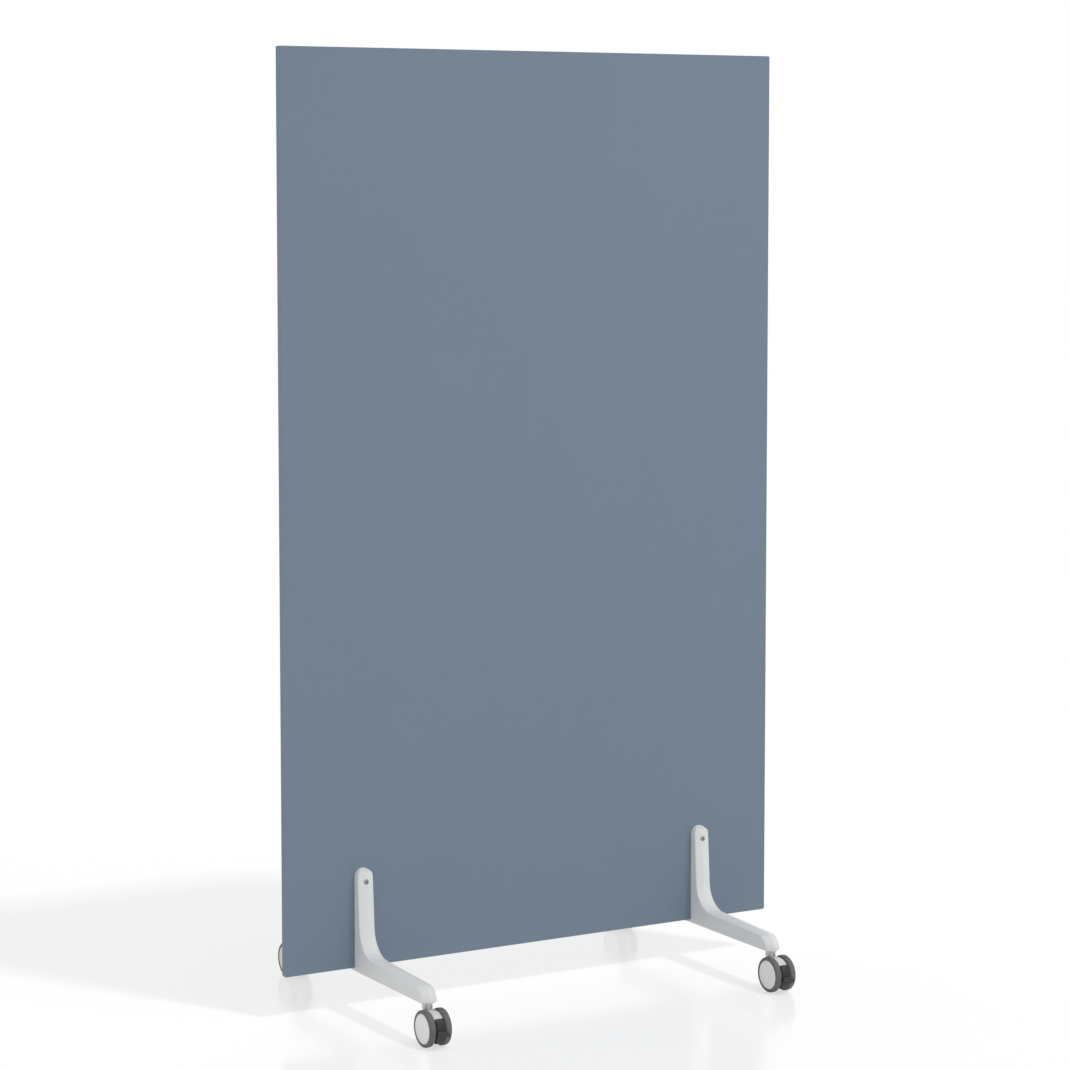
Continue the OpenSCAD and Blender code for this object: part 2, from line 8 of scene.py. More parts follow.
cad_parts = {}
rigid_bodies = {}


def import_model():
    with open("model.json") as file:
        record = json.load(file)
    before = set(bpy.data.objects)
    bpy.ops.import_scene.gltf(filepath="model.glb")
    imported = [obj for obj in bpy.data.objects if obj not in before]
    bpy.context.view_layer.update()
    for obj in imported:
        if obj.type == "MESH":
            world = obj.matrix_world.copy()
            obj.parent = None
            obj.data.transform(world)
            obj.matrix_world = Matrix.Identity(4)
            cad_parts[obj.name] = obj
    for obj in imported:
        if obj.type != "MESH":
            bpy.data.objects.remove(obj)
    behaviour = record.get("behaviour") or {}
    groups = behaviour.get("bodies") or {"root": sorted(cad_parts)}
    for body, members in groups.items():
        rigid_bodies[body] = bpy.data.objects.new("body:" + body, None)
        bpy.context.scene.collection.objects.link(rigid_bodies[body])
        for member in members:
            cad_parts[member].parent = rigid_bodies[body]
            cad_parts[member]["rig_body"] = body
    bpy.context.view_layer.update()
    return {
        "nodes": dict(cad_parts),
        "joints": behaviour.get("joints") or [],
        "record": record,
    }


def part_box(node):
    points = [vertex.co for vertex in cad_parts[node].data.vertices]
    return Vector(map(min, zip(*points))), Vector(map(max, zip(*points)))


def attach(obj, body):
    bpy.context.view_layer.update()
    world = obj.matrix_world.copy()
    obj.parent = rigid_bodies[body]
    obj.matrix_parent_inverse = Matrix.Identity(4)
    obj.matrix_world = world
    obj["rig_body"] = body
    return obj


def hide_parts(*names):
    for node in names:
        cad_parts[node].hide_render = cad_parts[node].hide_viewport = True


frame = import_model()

# A rolling partition: the looks of its board, cast legs and twin-wheel casters, in metres.
# Lengths below are written in millimetres where they repeat the construction, and MM turns them.
MM = 0.001
NODES = frame["nodes"]
JOINTS = {joint["name"]: joint for joint in frame["joints"]}
CORNERS = ("front_left", "front_right", "rear_left", "rear_right")
WHEELS = ("outer", "inner")
SLOTS = {part["node"]: part["material_slot"] for part in frame["record"]["subparts"]}

# ---------------------------------------------------------------- camera

CAMERA_PLACE = (-2.765, -4.770, 1.4715)
CAMERA_YAW = 30.125
CAMERA_PITCH = 4.99
CAMERA_SENSOR = 36
CAMERA_LENS = 104.3
CAMERA_SHIFT = -0.09
CAMERA_SIGHT = 60


def make_camera():
    data = bpy.data.cameras.new("camera")
    data.sensor_width = CAMERA_SENSOR
    data.lens = CAMERA_LENS
    data.shift_y = CAMERA_SHIFT
    data.clip_end = CAMERA_SIGHT
    camera = bpy.data.objects.new("camera", data)
    camera.location = CAMERA_PLACE
    camera.rotation_euler = (math.radians(90 - CAMERA_PITCH), 0, -math.radians(CAMERA_YAW))
    bpy.context.scene.collection.objects.link(camera)
    bpy.context.scene.camera = camera


# ---------------------------------------------------------------- materials


class Nodes:
    """A material's node tree, built with short calls. Texture places are the object's own, in metres."""

    def __init__(self, name):
        self.material = bpy.data.materials.new(name)
        self.material.use_nodes = True
        self.tree = self.material.node_tree
        self.shader = self.tree.nodes["Principled BSDF"]
        self.place = self.tree.nodes.new("ShaderNodeTexCoord").outputs["Object"]

    def add(self, kind, inputs=(), **settings):
        node = self.tree.nodes.new("ShaderNode" + kind)
        for key, value in settings.items():
            setattr(node, key, value)
        for key, value in dict(inputs).items():
            if isinstance(value, bpy.types.NodeSocket):
                self.tree.links.new(value, node.inputs[key])
            else:
                node.inputs[key].default_value = value
        return node

    def stretched(self, scale):
        return self.add("Mapping", {"Vector": self.place, "Scale": scale}).outputs["Vector"]

    def noise(self, scale, detail=2.0, roughness=0.5, stretch=None):
        place = self.stretched(stretch) if stretch else self.place
        inputs = {"Vector": place, "Scale": scale, "Detail": detail, "Roughness": roughness}
        return self.add("TexNoise", inputs).outputs["Fac"]

    def spread(self, value, low, high):
        """Turns a noise's middle range into low to high."""
        inputs = {"Value": value, "From Min": 0.3, "From Max": 0.7, "To Min": low, "To Max": high}
        return self.add("MapRange", inputs).outputs["Result"]

    def shade(self, value, colour, low, high):
        """The colour, made darker and lighter between low and high times itself by a noise."""
        factor = self.spread(value, low, high)
        tone = self.add("CombineColor", {"Red": factor, "Green": factor, "Blue": factor})
        mix = self.add("Mix", data_type="RGBA", blend_type="MULTIPLY")
        mix.inputs["Factor"].default_value = 1
        for socket in mix.inputs:
            if socket.identifier == "A_Color":
                socket.default_value = (*colour, 1)
            if socket.identifier == "B_Color":
                self.tree.links.new(tone.outputs["Color"], socket)
        return next(s for s in mix.outputs if s.identifier == "Result_Color")

    def bump(self, height, depth, below=None):
        inputs = {"Height": height, "Distance": depth, "Strength": 1.0}
        if below:
            inputs["Normal"] = below
        return self.add("Bump", inputs).outputs["Normal"]

    def surface(self, **inputs):
        for key, value in inputs.items():
            socket = self.shader.inputs[key.replace("_", " ")]
            if isinstance(value, bpy.types.NodeSocket):
                self.tree.links.new(value, socket)
            else:
                socket.default_value = value
        return self.material


def linear(*srgb):
    """A colour of a picture, 0 to 255, as the shaders take it."""
    return tuple(((c / 255 + 0.055) / 1.055) ** 2.4 for c in srgb)


def felt_material():
    n = Nodes("pressed_felt")
    fibres = n.noise(900, detail=5, roughness=0.65)
    tufts = n.noise(160, detail=3)
    clouds = n.noise(5, detail=2)
    colour = n.shade(fibres, linear(120, 134, 150), 0.95, 1.05)
    normal = n.bump(fibres, 0.12 * MM, n.bump(tufts, 0.1 * MM))
    return n.surface(
        Base_Color=colour, Roughness=n.spread(clouds, 0.88, 0.96), Normal=normal,
        Specular_IOR_Level=0.25, Sheen_Weight=0.08, Sheen_Roughness=0.5)


def coating_material():
    n = Nodes("powder_coat")
    peel = n.noise(650, detail=1.5)
    clouds = n.noise(18, detail=2)
    return n.surface(
        Base_Color=n.shade(clouds, linear(226, 227, 227), 0.985, 1.01),
        Roughness=n.spread(peel, 0.52, 0.62), Normal=n.bump(peel, 0.012 * MM),
        Specular_IOR_Level=0.35)


def steel_material(name, colour):
    n = Nodes(name)
    lines = n.noise(400, detail=3, stretch=(1, 1, 14))
    clouds = n.noise(60, detail=2)
    return n.surface(
        Base_Color=n.shade(clouds, colour, 0.97, 1.02), Metallic=1.0,
        Roughness=n.spread(lines, 0.45, 0.58), Normal=n.bump(lines, 0.003 * MM))


def tyre_material():
    n = Nodes("soft_tread")
    grain = n.noise(1400, detail=3, roughness=0.6)
    clouds = n.noise(45, detail=3)
    return n.surface(
        Base_Color=n.shade(clouds, linear(103, 103, 103), 0.95, 1.04),
        Roughness=n.spread(grain, 0.58, 0.72), Normal=n.bump(grain, 0.012 * MM),
        Specular_IOR_Level=0.4)


def plastic_material(name, colour):
    n = Nodes(name)
    grain = n.noise(1100, detail=2)
    clouds = n.noise(30, detail=2)
    return n.surface(
        Base_Color=n.shade(clouds, colour, 0.985, 1.012),
        Roughness=n.spread(grain, 0.38, 0.46), Normal=n.bump(grain, 0.006 * MM),
        Specular_IOR_Level=0.45)


def pedal_material():
    n = Nodes("grained_black")
    grain = n.noise(1900, detail=3, roughness=0.6)
    clouds = n.noise(70, detail=2)
    return n.surface(
        Base_Color=n.shade(clouds, linear(43, 43, 43), 0.9, 1.08),
        Roughness=n.spread(grain, 0.44, 0.6), Normal=n.bump(grain, 0.02 * MM),
        Specular_IOR_Level=0.4)


MATERIALS = {
    "board": felt_material(),
    "leg_coating": coating_material(),
    "steel": steel_material("satin_steel", linear(197, 197, 196)),
    "tyre": tyre_material(),
    "caster_cap": plastic_material("cap_plastic", linear(235, 235, 235)),
    "caster_housing": plastic_material("housing_plastic", linear(218, 218, 218)),
    "brake_pedal": pedal_material(),
}


# The board's clamps get a darker steel colour than the other steel parts.
CLAMP_STEEL = steel_material("dark_zinc", linear(152, 151, 148))


def dress_cad_nodes():
    """Gives every node the finish of its slot in the record, and the board's clamps a darker one."""
    for node, slot in SLOTS.items():
        NODES[node].data.materials.clear()
        clamp = node.startswith("clamp")
        NODES[node].data.materials.append(CLAMP_STEEL if clamp else MATERIALS[slot])


# ---------------------------------------------------------------- mesh helpers

# Edges that bend less than this many degrees look smooth.
SMOOTH_BELOW = 38
# Faces that bend less than this many degrees are joined into one.
FLAT_BELOW = 0.2
# Points closer together than this many millimetres are joined.
WELD = 0.002


def rounded(corners, steps=5):
    """An outline with round corners. Each corner is (x, y, radius)."""
    points = []
    for i, (x, y, radius) in enumerate(corners):
        here = Vector((x, y))
        before = (Vector(corners[i - 1][:2]) - here).normalized()
        after = (Vector(corners[(i + 1) % len(corners)][:2]) - here).normalized()
        half = before.angle(after) / 2
        if radius == 0 or math.sin(half) > 0.9999:
            points.append(here)
            continue
        centre = here + (before + after).normalized() * radius / math.sin(half)
        start = here + before * radius / math.tan(half) - centre
        end = here + after * radius / math.tan(half) - centre
        turn = start.angle(end)
        for step in range(steps + 1):
            share = step / steps
            points.append(
                centre + (start * math.sin((1 - share) * turn) + end * math.sin(share * turn))
                / math.sin(turn))
    return points


def loft(rings, closed=False):
    """A closed skin over rings of points. Closed joins the last ring to the first one."""
    mesh = bmesh.new()
    rows = [[mesh.verts.new(point) for point in ring] for ring in rings]
    count = len(rows[0])
    pairs = list(zip(rows, rows[1:])) + ([(rows[-1], rows[0])] if closed else [])
    for near, far in pairs:
        for i in range(count):
            j = (i + 1) % count
            mesh.faces.new((near[i], near[j], far[j], far[i]))
    if not closed:
        mesh.faces.new(rows[0])
        mesh.faces.new(list(reversed(rows[-1])))
    bmesh.ops.remove_doubles(mesh, verts=mesh.verts, dist=WELD)
    loose = [edge for edge in mesh.edges if not edge.link_faces]
    bmesh.ops.delete(mesh, geom=loose, context="EDGES")
    bmesh.ops.recalc_face_normals(mesh, faces=mesh.faces)
    return mesh


def lathe(outline, segments=96):
    """Turns an outline of (radius, x) about the x axis."""
    rings = []
    for i in range(segments):
        angle = 2 * math.pi * i / segments
        rings.append([(x, r * math.cos(angle), r * math.sin(angle)) for r, x in outline])
    return loft(rings, closed=True)


def rod(start, end, diameter, segments=48):
    """A plain round rod between two points, for cutting bores."""
    start, end = Vector(start), Vector(end)
    radius = diameter / 2
    rings = []
    for x in (0, (end - start).length):
        rings.append([(x, radius * math.cos(2 * math.pi * i / segments),
                       radius * math.sin(2 * math.pi * i / segments)) for i in range(segments)])
    mesh = loft(rings)
    turn = (end - start).to_track_quat("X", "Z").to_matrix().to_4x4()
    bmesh.ops.transform(mesh, matrix=Matrix.Translation(start) @ turn, verts=mesh.verts)
    return mesh


def block(low, high):
    """A plain box between two corners, for cutting and joining."""
    x0, y0, z0 = low
    x1, y1, z1 = high
    return loft([[(x0, y0, z), (x1, y0, z), (x1, y1, z), (x0, y1, z)] for z in (z0, z1)])


def soften(mesh, radius, choose, segments=3):
    """Rounds the mesh's sharp edges for which choose(edge) is true."""
    edges = [e for e in mesh.edges if len(e.link_faces) == 2
             and e.calc_face_angle(0) > math.radians(SMOOTH_BELOW) and choose(e)]
    bmesh.ops.bevel(mesh, geom=edges, offset=radius, segments=segments, profile=0.5,
                    affect="EDGES", clamp_overlap=False)


def as_object(name, mesh):
    data = bpy.data.meshes.new(name)
    mesh.to_mesh(data)
    mesh.free()
    piece = bpy.data.objects.new(name, data)
    bpy.context.scene.collection.objects.link(piece)
    return piece


def apply_modifiers(piece):
    graph = bpy.context.evaluated_depsgraph_get()
    old = piece.data
    data = bpy.data.meshes.new_from_object(piece.evaluated_get(graph))
    piece.modifiers.clear()
    piece.data = data
    bpy.data.meshes.remove(old)


def carve(piece, tools, operation="DIFFERENCE"):
    """Cuts the tools out of the piece, or joins them to it, one after another."""
    for tool_mesh in tools:
        tool = as_object("tool", tool_mesh)
        cut = piece.modifiers.new("cut", "BOOLEAN")
        cut.operation = operation
        cut.solver = "EXACT"
        cut.object = tool
        apply_modifiers(piece)
        bpy.data.meshes.remove(tool.data)


def shade(piece):
    """Smooth over round shapes, sharp at edges, and flat across flat faces."""
    piece.data.shade_smooth()
    piece.data.set_sharp_from_angle(angle=math.radians(SMOOTH_BELOW))
    weighted = piece.modifiers.new("weighted", "WEIGHTED_NORMAL")
    weighted.keep_sharp = True
    apply_modifiers(piece)


def stand_for(node, name, piece, place):
    """Puts a copy of a piece made in millimetres in place of a node, on the node's body."""
    data = piece.data.copy()
    data.transform(Matrix.Scale(MM, 4) @ place)
    if place.determinant() < 0:
        data.flip_normals()
    data.materials.clear()
    data.materials.append(MATERIALS[SLOTS[node]])
    copy = bpy.data.objects.new(name, data)
    bpy.context.scene.collection.objects.link(copy)
    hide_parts(node)
    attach(copy, NODES[node]["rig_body"])


def drop(piece):
    bpy.data.meshes.remove(piece.data)


def mm_box(node):
    """A node's lowest and highest corners, in millimetres."""
    return tuple(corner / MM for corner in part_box(node))


def side_of(corner):
    return 1 if corner.endswith("right") else -1


def out_of(corner):
    """1 at the rear, where the legs reach to +y, and -1 at the front."""
    return -1 if corner.startswith("front") else 1


def placed(point, flip=(1, 1, 1)):
    return Matrix.Translation(point) @ Matrix.Diagonal((*flip, 1))


# ---------------------------------------------------------------- shared sizes, in millimetres

BOARD_LOW, BOARD_HIGH = mm_box("board")
BOARD_T = BOARD_HIGH.y - BOARD_LOW.y
LEG_LOW, LEG_HIGH = mm_box("rear_right_leg")
LEG_Z = LEG_LOW.z
LEG_HALF = (LEG_HIGH.x - LEG_LOW.x) / 2
LEG_X = (LEG_HIGH.x + LEG_LOW.x) / 2
FOOT_REACH = LEG_HIGH.y - BOARD_T / 2
LEG_RISE = 177
LEG_TOP = BOARD_LOW.z + LEG_RISE
CLAMP_DROP = 23
CLAMP_Z = LEG_TOP - CLAMP_DROP
CLAMP_BORE = 8.2
CLAMP_SEAT = 14.6
CLAMP_HEAD_BORE = 9.8
TIE_W = 20.2
TIE_T = 3
TIE_REACH = 48.1
TIE_SCREW_Y = (14, 37)
TIE_SCREW_BORE = 5.2
TIE_SCREW_DEPTH = 16
STEM_Y = 240
STEM_BORE = 10.1
STEM_DEPTH = 14.5


# ---------------------------------------------------------------- board

BOARD_CORNER = 3
BOARD_EDGE = 0.8


def board():
    """The felt board: a thick sheet with softened edges and the bores of its two clamps."""
    centre = (BOARD_LOW + BOARD_HIGH) / 2
    half = (BOARD_HIGH - BOARD_LOW) / 2
    rings = []
    for side in (-1, 1):
        for angle in (0, 30, 60, 90)[::side]:
            inset = BOARD_EDGE * (1 - math.cos(math.radians(angle)))
            depth = half.y - BOARD_EDGE * (1 - math.sin(math.radians(angle)))
            w, h, r = half.x - inset, half.z - inset, BOARD_CORNER - inset
            outline = rounded([(-w, -h, r), (w, -h, r), (w, h, r), (-w, h, r)], steps=6)
            rings.append([(p.x, side * depth, centre.z + p.y) for p in outline])
    piece = as_object("board_shape", loft(rings))
    carve(piece, [rod((x, -BOARD_T, CLAMP_Z), (x, BOARD_T, CLAMP_Z), CLAMP_BORE)
                  for x in (-LEG_X, LEG_X)])
    shade(piece)
    stand_for("board", "felt_board", piece, placed((0, 0, 0)))
    drop(piece)


# ---------------------------------------------------------------- legs

UPRIGHT_T = 12.5
UPRIGHT_LEAN = math.radians(3.7)
BEND_R = 50
FOOT_ROOT_H = 31.6
FOOT_SLOPE = math.radians(1.9)
CROWN_H = 3.5
CROWN_SOFT = 0.22
NOSE_LEN = 32.5
NOSE_CROWN = 9.5
LEG_EDGE_R = 1.5
TOP_EDGE_T = 2
TOP_BEVEL_H = 7.5
BEVEL_POWER = 1.2
TOE_T = 6
UNDER_EDGE_R = 0.9
TOP_START = math.radians(88)

ARCH_Z = LEG_TOP - LEG_HALF
FOOT_ROOT_Z = LEG_Z + FOOT_ROOT_H
KNEE_Y = ((UPRIGHT_T + (ARCH_Z - FOOT_ROOT_Z) * math.tan(UPRIGHT_LEAN))
          / (1 - math.tan(UPRIGHT_LEAN) * math.tan(FOOT_SLOPE)))
KNEE_Z = FOOT_ROOT_Z - KNEE_Y * math.tan(FOOT_SLOPE)
BEND_TANGENT = BEND_R * math.tan((math.pi / 2 - UPRIGHT_LEAN - FOOT_SLOPE) / 2)
BEND_Y = KNEE_Y + BEND_R * math.cos(UPRIGHT_LEAN) - BEND_TANGENT * math.sin(UPRIGHT_LEAN)
BEND_Z = KNEE_Z + BEND_R * math.sin(UPRIGHT_LEAN) + BEND_TANGENT * math.cos(UPRIGHT_LEAN)
HEEL_ANGLE = math.atan2(LEG_Z - BEND_Z, -BEND_Y) + 2 * math.pi
NOSE_Y = FOOT_REACH - NOSE_LEN
NOSE_TOP_H = FOOT_ROOT_H - NOSE_Y * math.tan(FOOT_SLOPE)


def spaced(start, end, steps):
    return [start + (end - start) * i / steps for i in range(steps + 1)]


def ridge(u):
    """The crown's height at u across the leg, as a share: a soft ridge in the middle."""
    share = abs(u) / LEG_HALF
    low = math.hypot(CROWN_SOFT, 1)
    return (low - math.hypot(CROWN_SOFT, share)) / (low - CROWN_SOFT)


def edge_drop(u):
    """How far the crowned face falls away at its rounded side edges."""
    over = abs(u) - (LEG_HALF - LEG_EDGE_R)
    return LEG_EDGE_R - math.sqrt(max(0, LEG_EDGE_R ** 2 - over ** 2)) if over > 0 else 0


def across_leg():
    """Places across the leg, closer together at the ridge and the edges."""
    flat = LEG_HALF - LEG_EDGE_R
    edge = [flat + LEG_EDGE_R * math.sin(a) for a in spaced(0, math.pi / 2, 5)]
    middle = [flat * share for share in (0.06, 0.13, 0.21, 0.31, 0.43, 0.57, 0.72, 0.87)]
    side = middle + edge
    return [-u for u in reversed(side)] + [0] + side


def top_ring(angle, across):
    w = math.cos(angle)
    z = ARCH_Z + LEG_HALF * math.sin(angle)
    fall = max(0, 1 - LEG_HALF * (1 - math.sin(angle)) / TOP_BEVEL_H)
    edge_t = TOP_EDGE_T + (UPRIGHT_T - TOP_EDGE_T) * (1 - fall ** BEVEL_POWER)
    ring = [(u * w, edge_t + CROWN_H * w * ridge(u) - edge_drop(u) * w, z) for u in across]
    return ring + [(LEG_HALF * w, 0, z), (-LEG_HALF * w, 0, z)]


def bend_ring(angle, across):
    c, s = math.cos(angle), math.sin(angle)
    back = -BEND_Y / c if angle <= HEEL_ANGLE else (LEG_Z - BEND_Z) / s
    ring = []
    for u in across:
        r = BEND_R - CROWN_H * ridge(u) + edge_drop(u)
        ring.append((u, BEND_Y + r * c, BEND_Z + r * s))
    return ring + [(x, BEND_Y + back * c, BEND_Z + back * s) for x in (LEG_HALF, -LEG_HALF)]


def nose_ring(angle, across):
    c, s = math.cos(angle), math.sin(angle)
    ring = []
    for u in across:
        out = NOSE_LEN - NOSE_CROWN + NOSE_CROWN * ridge(u) - edge_drop(u)
        up = NOSE_TOP_H + CROWN_H * ridge(u) - edge_drop(u)
        ring.append((u, NOSE_Y + out * c, LEG_Z + up * s))
    return ring + [(LEG_HALF, NOSE_Y, LEG_Z), (-LEG_HALF, NOSE_Y, LEG_Z)]


def leg_skin():
    """The cast leg's outer skin, with y as the distance from the board's face."""
    across = across_leg()
    start, end = math.pi + UPRIGHT_LEAN, 1.5 * math.pi - FOOT_SLOPE
    rings = [top_ring(a, across) for a in spaced(TOP_START, 0, 22)]
    rings += [bend_ring(a, across) for a in spaced(start, HEEL_ANGLE, 10)]
    rings += [bend_ring(a, across) for a in spaced(HEEL_ANGLE, end, 10)[1:]]
    rings += [nose_ring(a, across) for a in spaced(math.pi / 2, 0, 22)]
    return loft(rings)


def leg_shape():
    """The skin joined to the toe under the board, with its underside softened and its seats cut."""
    piece = as_object("leg_shape", leg_skin())
    toe = block((-LEG_HALF, -BOARD_T / 2, LEG_Z), (LEG_HALF, TOE_T, LEG_Z + TOE_T))
    carve(piece, [toe], "UNION")
    mesh = bmesh.new()
    mesh.from_mesh(piece.data)
    bmesh.ops.remove_doubles(mesh, verts=mesh.verts, dist=WELD)
    bmesh.ops.dissolve_limit(
        mesh, angle_limit=math.radians(FLAT_BELOW), verts=mesh.verts, edges=mesh.edges)
    under = LEG_Z + WELD
    soften(mesh, UNDER_EDGE_R, lambda edge: all(v.co.z < under for v in edge.verts))
    mesh.to_mesh(piece.data)
    mesh.free()
    plate = block((-TIE_W / 2, -BOARD_T, 0), (TIE_W / 2, TIE_REACH, LEG_Z + TIE_T))
    screws = [rod((0, y, 0), (0, y, LEG_Z + TIE_SCREW_DEPTH), TIE_SCREW_BORE) for y in TIE_SCREW_Y]
    carve(piece, [plate] + screws + [
        rod((0, STEM_Y, 0), (0, STEM_Y, LEG_Z + STEM_DEPTH), STEM_BORE),
        rod((0, -BOARD_T, CLAMP_Z), (0, 2 * BOARD_T, CLAMP_Z), CLAMP_BORE),
        rod((0, CLAMP_SEAT, CLAMP_Z), (0, 4 * BOARD_T, CLAMP_Z), CLAMP_HEAD_BORE)])
    shade(piece)
    return piece


def legs():
    piece = leg_shape()
    for corner in CORNERS:
        side, out = side_of(corner), out_of(corner)
        place = placed((side * LEG_X, out * BOARD_T / 2, 0), (1, out, 1))
        stand_for(corner + "_leg", corner + "_cast_leg", piece, place)
    drop(piece)


# ---------------------------------------------------------------- casters, about the axle's middle

AXLE = Vector(JOINTS["rear_right_outer_roll"]["pos_m"]) / MM
TYRE_LOW, TYRE_HIGH = mm_box("rear_right_outer_tyre")
WHEEL_R = (TYRE_HIGH.z - TYRE_LOW.z) / 2
TYRE_NEAR, TYRE_FAR = TYRE_LOW.x - AXLE.x, TYRE_HIGH.x - AXLE.x
TREAD_T = 5.47
TYRE_INNER_R = WHEEL_R - TREAD_T
TYRE_EDGE_R = 0.3
SHOULDER_R = 3.5
CAP_INSET = 5.9
CAP_R = WHEEL_R - CAP_INSET
CAP_RIM_T = 0.9
CAP_DOME = 0.5
CAP_BACK_EDGE_R = 0.15
CAP_FRONT_EDGE_R = 0.6
SKIRT_INSET = 2.2
SKIRT_T = 1.4
SKIRT_LEN = 2.8
PEDAL_LOW, PEDAL_HIGH = mm_box("rear_right_brake_pedal")
PEDAL_INSET = 0.5
PEDAL_R = WHEEL_R - PEDAL_INSET
SHELL_T = 5
PEDAL_HALF = 8
PEDAL_TOP = math.radians(42.5)
PEDAL_BOTTOM = math.radians(-50)
PEDAL_SHARES = (0, 0.004, 0.012, 0.025, 0.045, 0.07, 0.1, 0.15, 0.22, 0.3, 0.4, 0.5, 0.6, 0.7,
                0.8, 0.88, 0.94, 0.975, 0.99, 0.997, 1)
PEDAL_EDGE_R = 1.2
PEDAL_BACK_R = 0.5
TOP_CORNER_R = 6
BOTTOM_CORNER_R = 2.5
PIN = Vector(JOINTS["rear_right_brake"]["pos_m"]) / MM - AXLE
PIN_BORE = 3.1
WEB_R = 4
WEB_HALF = 3
WEB_OVERLAP = 1
LIP_Z = -5
LIP_T = 3
LIP_EDGE_T = 2
LIP_EDGE_R = 0.5
LIP_CORNER_R = 2
# The least length of the lip along y, at its side corners.
LIP_LEAST = 0.5
LIP_REACH = PEDAL_HIGH.y - AXLE.y
LIP_HALF = (PEDAL_HIGH.x - PEDAL_LOW.x) / 2
WIDEN_GAP = 1.8
WIDEN_Y = WHEEL_R + WIDEN_GAP
FLARE_H = 9
FLARE_START = math.sqrt(PEDAL_R ** 2 - (LIP_Z + FLARE_H) ** 2)
FLARE_POWER = 0.8
# Places across one side of the lip, from just past the strap's width to the lip's side edge.
LIP_SIDE = (8.01, 8.8, 9.5, 10.2, 10.7, 11.1, 11.35, 11.5)
STEM_LOW, STEM_HIGH = mm_box("rear_right_stem")
PIVOT_R = 4.5
PIVOT_LEN = 25
PIVOT_BEVEL = 0.4
COLLAR_R = 9
COLLAR_LOW_EDGE_R = 0.7
COLLAR_TOP_EDGE_R = 0.5
THREAD_R = 5
THREAD_ROOT_R = 4.3
THREAD_PITCH = 1.5
THREAD_START = 0.6
THREAD_BEVEL = 1
HOUSING_LOW, HOUSING_HIGH = mm_box("rear_right_housing")
HOUSING_HALF = (HOUSING_HIGH.x - HOUSING_LOW.x) / 2
HOUSING_TOP = HOUSING_HIGH.z - AXLE.z
HOUSING_FLOOR = HOUSING_LOW.z - AXLE.z
HOOD_DROP = 0.3
HOOD_R = HOUSING_TOP - HOOD_DROP
HOOD_EDGE_R = 0.4
RECESS_R = 21
RECESS_TOP = math.radians(44.5)
RECESS_BOTTOM = math.radians(-78)
BOSS_Y = (STEM_LOW.y + STEM_HIGH.y) / 2 - AXLE.y
PIVOT_BORE = 9.2
AXLE_BORE = 6.02
SLOT_GAP = 0.3


def about_axle(corner, outward=1):
    """From a caster's own millimetres to the row's: x outward, y as the wheels trail, z up."""
    side, out = side_of(corner), out_of(corner)
    return placed((side * AXLE.x, out * AXLE.y, AXLE.z), (outward, out, 1))


def tyres():
    """The soft tyre: a plain ring with round shoulders."""
    outline = rounded([
        (TYRE_INNER_R, TYRE_NEAR, TYRE_EDGE_R), (WHEEL_R, TYRE_NEAR, SHOULDER_R),
        (WHEEL_R, TYRE_FAR, SHOULDER_R), (TYRE_INNER_R, TYRE_FAR, TYRE_EDGE_R)], steps=8)
    piece = as_object("tyre_shape", lathe(outline, 128))
    shade(piece)
    for corner in CORNERS:
        for wheel in WHEELS:
            outward = side_of(corner) * (1 if wheel == "outer" else -1)
            name = corner + "_" + wheel
            stand_for(name + "_tyre", name + "_soft_tyre", piece, about_axle(corner, outward))
    drop(piece)


def caps():
    """The domed hub cap, with a skirt on its back that plugs into the hub."""
    face = TYRE_FAR - CAP_RIM_T - CAP_DOME
    skirt = TYRE_INNER_R - SKIRT_INSET
    skirt_end = face - SKIRT_LEN
    dome = [(CAP_R * (1 - s), face + CAP_RIM_T + CAP_DOME * (1 - (1 - s) ** 2))
            for s in spaced(0.03, 1, 14)]
    rim = rounded([(CAP_R, face, CAP_BACK_EDGE_R), (CAP_R, face + CAP_RIM_T, CAP_FRONT_EDGE_R),
                   (*dome[2], 0)], steps=5)[:-2]
    outline = [(0, face), (skirt - SKIRT_T, face), (skirt - SKIRT_T, skirt_end),
               (skirt, skirt_end), (skirt, face)]
    outline += [tuple(point) for point in rim] + dome[2:]
    piece = as_object("cap_shape", lathe(outline, 128))
    shade(piece)
    for corner in CORNERS:
        for wheel in WHEELS:
            outward = side_of(corner) * (1 if wheel == "outer" else -1)
            name = corner + "_" + wheel
            stand_for(name + "_cap", name + "_domed_cap", piece, about_axle(corner, outward))
    drop(piece)


